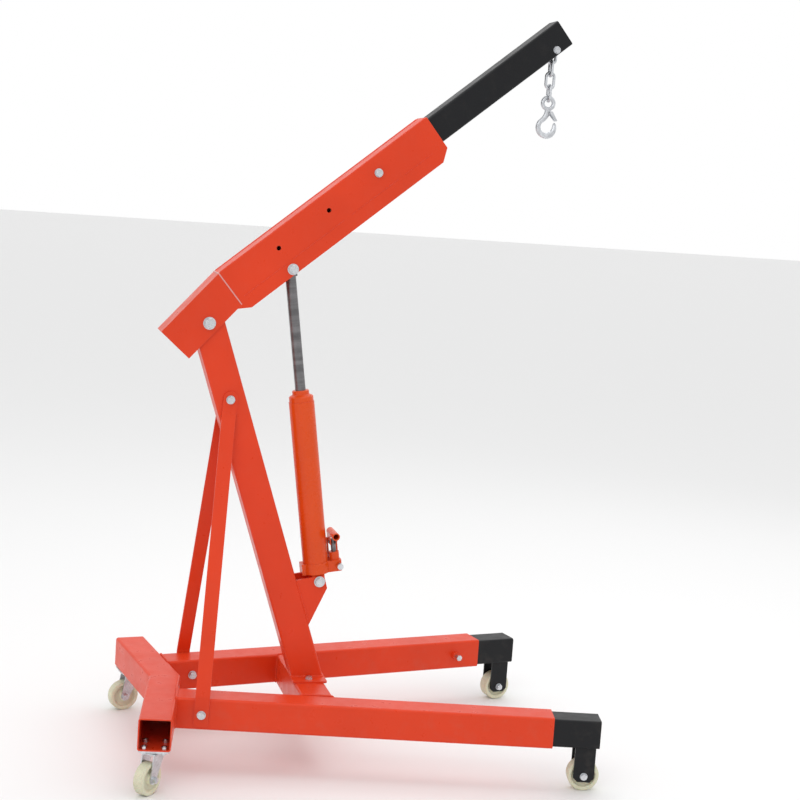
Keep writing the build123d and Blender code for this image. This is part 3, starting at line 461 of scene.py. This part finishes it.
def surface(tree, shader, colour, rough, height, strength, distance):
    """Links colour, roughness and a bump of the height to the shader."""
    tree.links.new(colour, shader.inputs["Base Color"])
    tree.links.new(rough, shader.inputs["Roughness"])
    relief = add(tree, "ShaderNodeBump", {"Height": height, "Strength": strength,
                                          "Distance": distance})
    tree.links.new(relief.outputs["Normal"], shader.inputs["Normal"])


def finish_material(name, group, values, bump, constants):
    """Material whose colour, roughness and bump come from one of the groups above."""
    material, tree, shader = new_material(name, constants)
    skin = add(tree, "ShaderNodeGroup", values, node_tree=group)
    surface(tree, shader, *(skin.outputs[key] for key in ("Color", "Roughness", "Height")),
            bump, 0.0006)
    return material


def opaque(colour):
    """Colour with full alpha."""
    return (*colour, 1.0)


def shared_group(name, maker):
    """Node group of that name, made the first time it is asked for."""
    return bpy.data.node_groups.get(name) or maker()


def enamel(name, paint, gloss, wear, grime, peel=420.0, coat=0.0):
    """Enamel of one colour; its edges are paler, partly as a worn, thinner coat and partly as a
    painted highlight.
    """
    group = shared_group("Sprayed enamel", make_enamel_group)
    # Paler colour for the edges: worn paint and a painted highlight.
    pale = [min(1.0, 0.75 * part + 0.20) for part in paint]
    return finish_material(
        name, group, {"Paint": opaque(paint), "Worn and highlit": opaque(pale), "Peel scale": peel,
                      "Gloss": gloss, "Edge wear and highlight": wear, "Grime": grime},
        0.35, {"Coat Weight": coat, "Specular IOR Level": 0.25})


def plating(name, metal, grain, dull, bump=0.25):
    """Zinc of one colour, crystal size and dullness."""
    group = shared_group("Zinc plating", make_plating_group)
    return finish_material(name, group, {"Metal": opaque(metal), "Grain": grain, "Dull": dull},
                           bump, {"Metallic": 1.0})


def ram_steel(name, metal, along):
    """Ground bar: fine rings and darker bands square to the given axis, and a film of oil."""
    material, tree, shader = new_material(name, {"Metallic": 0.9})
    place = add(tree, "ShaderNodeTexCoord").outputs["Object"]
    reach = add(tree, "ShaderNodeVectorMath", {0: place, 1: along}, operation="DOT_PRODUCT")
    reach = reach.outputs["Value"]
    rings = add(tree, "ShaderNodeTexNoise", {"W": reach, "Scale": 900.0, "Detail": 4.0},
                noise_dimensions="1D").outputs["Fac"]
    bands = add(tree, "ShaderNodeTexNoise", {"W": reach, "Scale": 38.0, "Detail": 2.0},
                noise_dimensions="1D").outputs["Fac"]
    film = noise(tree, place, 60.0, 4.0)
    value = maths(tree, "ADD", remap(tree, bands, 0.35, 0.65, 0.72, 1.12),
                  remap(tree, film, 0.3, 0.7, -0.10, 0.08))
    tone = add(tree, "ShaderNodeHueSaturation", {"Value": value, "Color": opaque(metal)})
    rough = remap(tree, rings, 0.3, 0.7, 0.26, 0.42)
    surface(tree, shader, tone.outputs["Color"], rough, rings, 0.18, 0.0003)
    return material


def wheel_nylon(name, colour):
    """Cast nylon: faint marbling, a scuffed tread with dirt, and a darker colour in the recess
    round the hub.
    """
    material, tree, shader = new_material(
        name, {"Subsurface Weight": 0.12, "Subsurface Scale": 0.004})
    place = add(tree, "ShaderNodeTexCoord").outputs["Object"]
    tread = add(tree, "ShaderNodeAttribute", attribute_name="tread").outputs["Fac"]
    recess = add(tree, "ShaderNodeAttribute", attribute_name="recess").outputs["Fac"]
    marble = noise(tree, place, 30.0, 5.0, 0.6)
    grit = noise(tree, place, 240.0, 5.0, 0.7)
    tone = add(tree, "ShaderNodeHueSaturation",
               {"Value": remap(tree, marble, 0.3, 0.7, 0.92, 1.05), "Color": opaque(colour)})
    dirt = maths(tree, "MULTIPLY", remap(tree, grit, 0.40, 0.62),
                 maths(tree, "MULTIPLY", tread, 0.22))
    # Darker colour in the recess round the hub, mixed by the recess mask and the marbling.
    held = maths(tree, "MULTIPLY", recess, remap(tree, marble, 0.35, 0.65, 0.08, 0.30))
    shade = maths(tree, "MAXIMUM", dirt, held)
    tread_dirt_and_recess_darkening = mix(tree, shade, tone.outputs["Color"], (0.20, 0.17, 0.12, 1))
    rough = maths(tree, "ADD", remap(tree, grit, 0.3, 0.7, 0.36, 0.48),
                  maths(tree, "MULTIPLY", tread, 0.15))
    surface(tree, shader, tread_dirt_and_recess_darkening, rough, grit, 0.2, 0.0004)
    return material


def cover(names, material):
    """Gives CAD nodes a finish."""
    for name in names:
        node = frame["nodes"][name]
        node.data.materials.clear()
        node.data.materials.append(material)


def material_named(name, maker, *values, **named):
    """Material of that name, made the first time it is asked for."""
    return bpy.data.materials.get(name) or maker(name, *values, **named)


def frame_enamel():
    """Red-orange enamel of the frame."""
    colours = bpy.context.scene.crane_colours
    return material_named("Frame enamel", enamel, colours.frame_paint, 0.32, 0.45, 0.20)


def seam_highlight_enamel():
    """Frame enamel made paler along the boom's seams, as a painted highlight on the seam bead."""
    paint = bpy.context.scene.crane_colours.frame_paint
    # Paler paint: a painted highlight on the seam bead.
    pale = [0.6 * part + 0.28 for part in paint]
    return material_named("Seam highlight enamel", enamel, pale, 0.28, 0.3, 0.15)


def black_enamel():
    """Satin black enamel of the extensions."""
    colours = bpy.context.scene.crane_colours
    return material_named("Extension enamel", enamel, colours.black_paint, 0.38, 0.18, 0.15)


def jack_enamel():
    """Orange enamel of the ram, glossier than the frame's."""
    colours = bpy.context.scene.crane_colours
    return material_named("Jack enamel", enamel, colours.jack_paint, 0.26, 0.30, 0.20,
                          peel=520.0, coat=0.10)


def attach(piece, body, material, replaces=()):
    """Material, body and the CAD nodes that a new piece stands for."""
    piece.data.materials.append(material)
    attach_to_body(piece, body)
    if replaces:
        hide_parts(*replaces)


# ---- places on the crane ----------------------------------------------------------------------
def layout(x, y, z):
    """Point given from the layout's zero plane."""
    return np.array((LAYOUT_X + x, y, z))


def slope(angle):
    """Unit vector forward and up at an angle."""
    return np.array((np.cos(angle), 0.0, np.sin(angle)))


def below(angle):
    """Unit vector square to that slope, pointing down."""
    return np.array((np.sin(angle), 0.0, -np.cos(angle)))


PIVOT = np.array(JOINTS["boom_lift"]["pos_m"])
KINK = PIVOT + slope(REAR_SLOPE) * PIVOT_BACK - below(REAR_SLOPE) * PIVOT_DEPTH


def on_boom(along, depth, y):
    """Point a way along the boom from its kink and a depth below its top face."""
    return KINK + slope(BOOM_SLOPE) * along + below(BOOM_SLOPE) * depth + np.array((0, y, 0))


# ---- pieces -----------------------------------------------------------------------------------
class CRANE_OT_painted_frame(bpy.types.Operator):
    """Red-orange enamel on the frame, mast, braces and boom."""
    bl_idname = "crane.painted_frame"
    bl_label = "Painted frame and boom"

    def execute(self, context):
        cover(RED_NODES, frame_enamel())
        return {"FINISHED"}


class CRANE_OT_black_extensions(bpy.types.Operator):
    """Satin black enamel on the sliding extensions and front forks."""
    bl_idname = "crane.black_extensions"
    bl_label = "Black extensions"

    def execute(self, context):
        cover(BLACK_NODES, black_enamel())
        return {"FINISHED"}


class CRANE_OT_plated_hardware(bpy.types.Operator):
    """Zinc plating on the bolts, casters, chain and latch."""
    bl_idname = "crane.plated_hardware"
    bl_label = "Plated hardware"

    def execute(self, context):
        zinc = context.scene.crane_colours.zinc
        cover(BOLT_NODES, material_named("Bright zinc", plating, zinc, 420.0, 0.27))
        cover(SHEET_NODES, material_named("Sheet zinc", plating, zinc, 200.0, 0.33))
        return {"FINISHED"}


class CRANE_OT_jack(bpy.types.Operator):
    """Orange enamel on the hydraulic ram's body, ground steel on its bar and plunger."""
    bl_idname = "crane.jack"
    bl_label = "Hydraulic ram"

    def execute(self, context):
        cover(JACK_NODES, jack_enamel())
        along = tuple(JOINTS["ram_extend"]["axis"])
        steel = context.scene.crane_colours.bare_steel
        cover(STEEL_NODES, material_named("Ground steel", ram_steel, steel, along))
        return {"FINISHED"}


def leg_root(side):
    """Corners of the seam between one leg and the rear beam: up its inner face, over, down."""
    front = ARM_APEX + TUBE / np.cos(ARM_SWEEP)
    half = TUBE / 2 / np.cos(LEG_SPLAY)
    tan_sweep, tan_splay = np.tan(ARM_SWEEP), np.tan(LEG_SPLAY)
    corners = []
    for across, z in ((-1, TUBE_BOTTOM), (-1, TUBE_TOP), (1, TUBE_TOP), (1, TUBE_BOTTOM)):
        y = (LEG_Y + front * tan_splay + across * half) / (1 + tan_sweep * tan_splay)
        corners.append(layout(front - y * tan_sweep, side * y, z))
    facing = np.array((np.cos(ARM_SWEEP), side * np.sin(ARM_SWEEP), 0.0))
    return corners, facing


def cross_beam_root(side):
    """Corners of the seam between the cross beam and one leg's inner face."""
    corners = []
    for x, z in ((CROSS_X[0], TUBE_BOTTOM), (CROSS_X[0], TUBE_TOP), (CROSS_X[1], TUBE_TOP),
                 (CROSS_X[1], TUBE_BOTTOM)):
        y = LEG_Y + x * np.tan(LEG_SPLAY) - TUBE / 2 / np.cos(LEG_SPLAY)
        corners.append(layout(x, side * y, z))
    facing = np.array((np.sin(LEG_SPLAY), -side * np.cos(LEG_SPLAY), 0.0))
    return corners, facing


class CRANE_OT_base_welds(bpy.types.Operator):
    """Painted weld beads where the legs, cross beam, mast and ram brackets join."""
    bl_idname = "crane.base_welds"
    bl_label = "Base welds"

    def execute(self, context):
        sizes = context.scene.crane_sizes
        radius, ripple = sizes.bead, sizes.ripple
        beads = []
        for side in (1, -1):
            for corners, facing in (leg_root(side), cross_beam_root(side)):
                beads.append(bead(corners, facing, radius, ripple, TUBE_CORNER))
        half_x = TUBE / 2 / np.cos(MAST_LEAN)
        foot = [MAST_FOOT + np.array((x * half_x, y * TUBE / 2, 0.0))
                for x, y in ((-1, -1), (1, -1), (1, 1), (-1, 1))]
        beads.append(bead(foot, (0, 0, 1), radius, ripple, TUBE_CORNER, closed=True))
        face_x = MAST_FOOT[0] + half_x
        for y in BRACKET_FACES:
            ends = [np.array((face_x - (z - MAST_FOOT[2]) * np.tan(MAST_LEAN), y, z))
                    for z in BRACKET_SEAM]
            beads.append(bead(ends, (0, 1, 0), radius * 0.9, ripple))
        piece = new_piece("base_weld_beads", *gather(beads))
        attach(piece, "base", frame_enamel())
        return {"FINISHED"}


class CRANE_OT_boom_welds(bpy.types.Operator):
    """Bead across the boom's kink, along the side plates' upper edges, and the fine side seam."""
    bl_idname = "crane.boom_welds"
    bl_label = "Boom welds"

    def execute(self, context):
        sizes = context.scene.crane_sizes
        radius, ripple = sizes.bead, sizes.ripple
        drop = KINK_SEAM_DEPTH / np.cos(REAR_SLOPE - BOOM_SLOPE)
        corners = [on_boom(0, drop, -BOOM_HALF), on_boom(0, 0, -BOOM_HALF),
                   on_boom(0, 0, BOOM_HALF), on_boom(0, drop, BOOM_HALF)]
        # The kink bead takes the paler seam paint, a painted highlight.
        kink = new_piece("boom_kink_bead", *bead(corners, slope(BOOM_SLOPE), radius * 0.6,
                                                 ripple, 0.004))
        attach(kink, "boom", seam_highlight_enamel())
        shapes = []
        for side in (-1, 1):
            top = [on_boom(along, TOP_BEAD_DEPTH, side * BOOM_TUBE_HALF)
                   for along in (TOP_BEAD_GAP, BOOM_LENGTH - TOP_BEAD_GAP)]
            shapes.append(bead(top, (0, 1, 0), radius * 0.85, ripple))
            for run in SIDE_SEAM_RUNS:
                seam = [on_boom(end, SIDE_SEAM_DEPTH, side * (BOOM_HALF + 0.0002))
                        for end in run]
                shapes.append(bead(seam, (0, 1, 0), sizes.seam, ripple * 1.5))
        piece = new_piece("boom_weld_beads", *gather(shapes))
        attach(piece, "boom", frame_enamel())
        return {"FINISHED"}


class CRANE_OT_fork_welds(bpy.types.Operator):
    """Bead between each front fork plate and the underside of its extension."""
    bl_idname = "crane.fork_welds"
    bl_label = "Front fork welds"

    def execute(self, context):
        sizes = context.scene.crane_sizes
        for name in ("left", "right"):
            axle = np.array(JOINTS["front_roll_" + name]["pos_m"])
            along = np.array(JOINTS["leg_extend_" + name]["axis"])
            across = np.cross((0, 0, 1), along)
            shapes = []
            for out in (-FORK_HALF, FORK_HALF):
                middle = np.array((axle[0], axle[1], FORK_SEAM_Z)) + across * out
                ends = [middle - along * FORK_SEAM_HALF, middle + along * FORK_SEAM_HALF]
                shapes.append(bead(ends, across, sizes.bead * 0.9, sizes.ripple))
            piece = new_piece("fork_weld_" + name, *gather(shapes))
            attach(piece, "leg_extension_" + name, black_enamel())
        return {"FINISHED"}


def wheel_outline(half, hub, corner):
    """Half section of a nylon wheel: (radius, height), with its own rounding at each corner."""
    floor = half - WHEEL_RECESS
    upper = [(WHEEL_RADIUS, half, corner), (WHEEL_RIM, half - 0.0005, 0.002),
             (WHEEL_RIM - 0.003, floor, 0.004), (WHEEL_HUB + 0.002, floor, 0.004),
             (WHEEL_HUB, hub, 0.0015), (WHEEL_BORE, hub, 0.0008)]
    lower = [(radius, -height, rounding) for radius, height, rounding in upper[::-1]]
    shape = lower + upper
    return rounded_profile([point[:2] for point in shape], [point[2] for point in shape])


class CRANE_OT_wheels(bpy.types.Operator):
    """Four turned nylon wheels with rounded treads and recessed sides."""
    bl_idname = "crane.wheels"
    bl_label = "Nylon wheels"

    def execute(self, context):
        sizes = context.scene.crane_sizes
        nylon = material_named("Cream nylon", wheel_nylon, context.scene.crane_colours.nylon)
        for end, half, hub in WHEEL_ENDS:
            outline = wheel_outline(half, hub, sizes.wheel_corner)
            for name in ("left", "right"):
                joint = JOINTS[end + "_roll_" + name]
                points, faces = turned(outline, joint["pos_m"], joint["axis"],
                                       sizes.wheel_facets)
                wheel = new_piece(end + "_tyre_" + name, points, faces)
                radius = np.tile(outline[:, 0], sizes.wheel_facets)
                height = np.abs(np.tile(outline[:, 1], sizes.wheel_facets))
                masks = {"tread": np.clip((radius - 0.046) / 0.003, 0, 1),
                         "recess": np.clip((half - 0.002 - height) / 0.004, 0, 1)
                         * (radius < 0.040)}
                for mask, values in masks.items():
                    layer = wheel.data.attributes.new(mask, "FLOAT", "POINT")
                    layer.data.foreach_set("value", values.astype(np.float32))
                attach(wheel, end + "_wheel_" + name, nylon,
                       [end + "_wheel_" + name])
        return {"FINISHED"}


def hook_body(eye):
    """Shank that leans back below the eye, then a circle round the bowl to the blunt point.

    The point leans outwards, towards the latch's free end.
    """
    sweep = np.radians(np.linspace(*BOWL_SWEEP, 94))
    lean = (sweep - np.radians(POINT_FROM)) / np.radians(BOWL_SWEEP[1] - POINT_FROM)
    lean = np.clip(lean, 0, 1)
    middle = BOWL_MIDDLE - 0.0010 * np.cos(sweep) + POINT_LEAN * lean ** 2
    arc = middle[:, None] * np.stack([np.cos(sweep), 0 * sweep, np.sin(sweep)], -1)
    arc += eye + EYE_TO_BOWL
    lead = np.linspace(0, 1, 24, endpoint=False)[:, None]
    top, bend = eye + np.array((0.001, 0, -0.021)), eye + np.array((0.0, 0, -0.044))
    path = np.vstack([curve(top, bend, arc[0], lead), arc])
    share = np.linspace(0, 1, len(path))
    wide = np.interp(share, *zip(*HOOK_WIDE))
    tall = np.interp(share, *zip(*HOOK_TALL))
    return strand(path, (0, 1, 0), wide, tall, sides=24)


def latch_rivet(place):
    """Rivet across the latch, with a rounded head at each end."""
    half = [(0.00245, 0.0108), (0.0040, 0.0108), (0.0040, 0.0120), (0.0001, 0.0120)]
    outline = [(radius, -height) for radius, height in half[::-1]] + half
    roundings = [0, 0.0008, 0.0003, 0, 0, 0.0003, 0.0008, 0]
    return turned(rounded_profile(outline, roundings, 3), place, (0, 1, 0), 24)


def latch_boss(place):
    """Rounded lug on the hook's neck, round the rivet."""
    ends = [place + np.array((-0.006, 0, 0.002)), place + np.array((0.003, 0, 0))]
    path = even_path(ends, 0.001, 0.001)
    bulge = np.sqrt(np.clip(np.sin(np.linspace(0.06, np.pi - 0.06, len(path))), 0, 1))
    return strand(path, (0, 1, 0), 0.0065 * bulge, 0.0066 * bulge, sides=16)


class CRANE_OT_hook(bpy.types.Operator):
    """Forged hook: round eye, tapering shank and a thick bowl that ends in a blunt point."""
    bl_idname = "crane.hook"
    bl_label = "Forged hook"

    def execute(self, context):
        latch = np.array(JOINTS["latch_open"]["pos_m"])
        eye = latch - EYE_TO_LATCH
        turn = np.linspace(0, 2 * np.pi, 64, endpoint=False)
        ring = eye + EYE_MIDDLE * np.stack([np.cos(turn), 0 * turn, np.sin(turn)], -1)
        shapes = [strand(ring, (0, 1, 0), EYE_WIRE, sides=20, closed=True), hook_body(eye),
                  latch_rivet(latch), latch_boss(latch)]
        piece = new_piece("forged_hook", *gather(shapes))
        metal = material_named("Forged zinc", plating, context.scene.crane_colours.zinc,
                               150.0, 0.36, bump=0.5)
        attach(piece, "hook", metal, ["hook"])
        return {"FINISHED"}


# ---- studio -----------------------------------------------------------------------------------
def soft_light(name, place, target, size, power):
    """Square softbox aimed at a point."""
    light = bpy.data.lights.new(name, "AREA")
    light.shape = "SQUARE"
    light.size = size
    light.energy = power
    holder = bpy.data.objects.new(name, light)
    holder.location = place
    aim = Vector(target) - Vector(place)
    holder.rotation_mode = "QUATERNION"
    holder.rotation_quaternion = aim.to_track_quat("-Z", "Y")
    bpy.context.scene.collection.objects.link(holder)


def place_camera():
    """Camera turned from +Y by its yaw, tipped down by its pitch and rolled about its view."""
    yaw, pitch, roll = (np.radians(v) for v in (CAMERA_YAW, CAMERA_PITCH, CAMERA_ROLL))
    ahead = np.array((np.sin(yaw) * np.cos(pitch), np.cos(yaw) * np.cos(pitch), -np.sin(pitch)))
    side = np.array((np.cos(yaw), -np.sin(yaw), 0.0))
    up = np.cross(side, ahead)
    right = np.cos(roll) * side + np.sin(roll) * up
    top = np.cos(roll) * up - np.sin(roll) * side
    data = bpy.data.cameras.new("Camera")
    data.lens = CAMERA_LENS
    camera = bpy.data.objects.new("Camera", data)
    turned_axes = Matrix([right, top, -ahead]).transposed().to_4x4()
    camera.matrix_world = Matrix.Translation(CAMERA_PLACE) @ turned_axes
    bpy.context.scene.collection.objects.link(camera)
    bpy.context.scene.camera = camera


class CRANE_OT_studio(bpy.types.Operator):
    """Pale floor, white surround, softboxes and the camera."""
    bl_idname = "crane.studio"
    bl_label = "Studio"

    def execute(self, context):
        scene = context.scene
        half = FLOOR_SIZE / 2
        corners = [(-half, -half, 0), (half, -half, 0), (half, half, 0), (-half, half, 0)]
        mesh = bpy.data.meshes.new("floor")
        mesh.from_pydata(corners, [], [(0, 1, 2, 3)])
        floor = bpy.data.objects.new("floor", mesh)
        pale, _, _ = new_material("Pale floor", {"Base Color": (0.88, 0.88, 0.88, 1.0),
                                                 "Roughness": 0.6, "Specular IOR Level": 0.2})
        floor.data.materials.append(pale)
        scene.collection.objects.link(floor)
        # The surround is seen as white, but lights the crane a little more gently.
        world = bpy.data.worlds.new("Studio white")
        world.use_nodes = True
        tree = world.node_tree
        seen = add(tree, "ShaderNodeLightPath").outputs["Is Camera Ray"]
        strength = remap(tree, seen, 0.0, 1.0, SURROUND_LIGHT, 1.0)
        tree.nodes["Background"].inputs["Color"].default_value = (1, 1, 1, 1)
        tree.links.new(strength, tree.nodes["Background"].inputs["Strength"])
        scene.world = world
        for name, place, size, power in SOFTBOXES:
            soft_light(name, place, SOFTBOX_TARGET, size, power)
        scene.view_settings.view_transform = "Standard"
        place_camera()
        return {"FINISHED"}


# ---- add-on -----------------------------------------------------------------------------------
STEPS = (CRANE_OT_painted_frame, CRANE_OT_black_extensions, CRANE_OT_plated_hardware,
         CRANE_OT_jack, CRANE_OT_base_welds, CRANE_OT_boom_welds, CRANE_OT_fork_welds,
         CRANE_OT_wheels, CRANE_OT_hook, CRANE_OT_studio)


class CRANE_PT_pieces(bpy.types.Panel):
    """Sidebar panel with the crane's colours, sizes and pieces."""
    bl_idname = "CRANE_PT_pieces"
    bl_label = "Engine crane"
    bl_space_type = "VIEW_3D"
    bl_region_type = "UI"
    bl_category = "Crane"

    def draw(self, context):
        for settings in (context.scene.crane_colours, context.scene.crane_sizes):
            for name in settings.__annotations__:
                self.layout.prop(settings, name)
        for step in STEPS:
            self.layout.operator(step.bl_idname)


CLASSES = (CraneColours, CraneSizes, *STEPS, CRANE_PT_pieces)


def register():
    """Adds the classes and the scene's two groups of settings."""
    for item in CLASSES:
        bpy.utils.register_class(item)
    bpy.types.Scene.crane_colours = bpy.props.PointerProperty(type=CraneColours)
    bpy.types.Scene.crane_sizes = bpy.props.PointerProperty(type=CraneSizes)


def unregister():
    """Takes them away again."""
    del bpy.types.Scene.crane_sizes
    del bpy.types.Scene.crane_colours
    for item in reversed(CLASSES):
        bpy.utils.unregister_class(item)


def main():
    """Makes the finished crane and its studio."""
    register()
    bpy.ops.crane.painted_frame()
    bpy.ops.crane.black_extensions()
    bpy.ops.crane.plated_hardware()
    bpy.ops.crane.jack()
    bpy.ops.crane.base_welds()
    bpy.ops.crane.boom_welds()
    bpy.ops.crane.fork_welds()
    bpy.ops.crane.wheels()
    bpy.ops.crane.hook()
    bpy.ops.crane.studio()


if __name__ == "__main__":
    main()
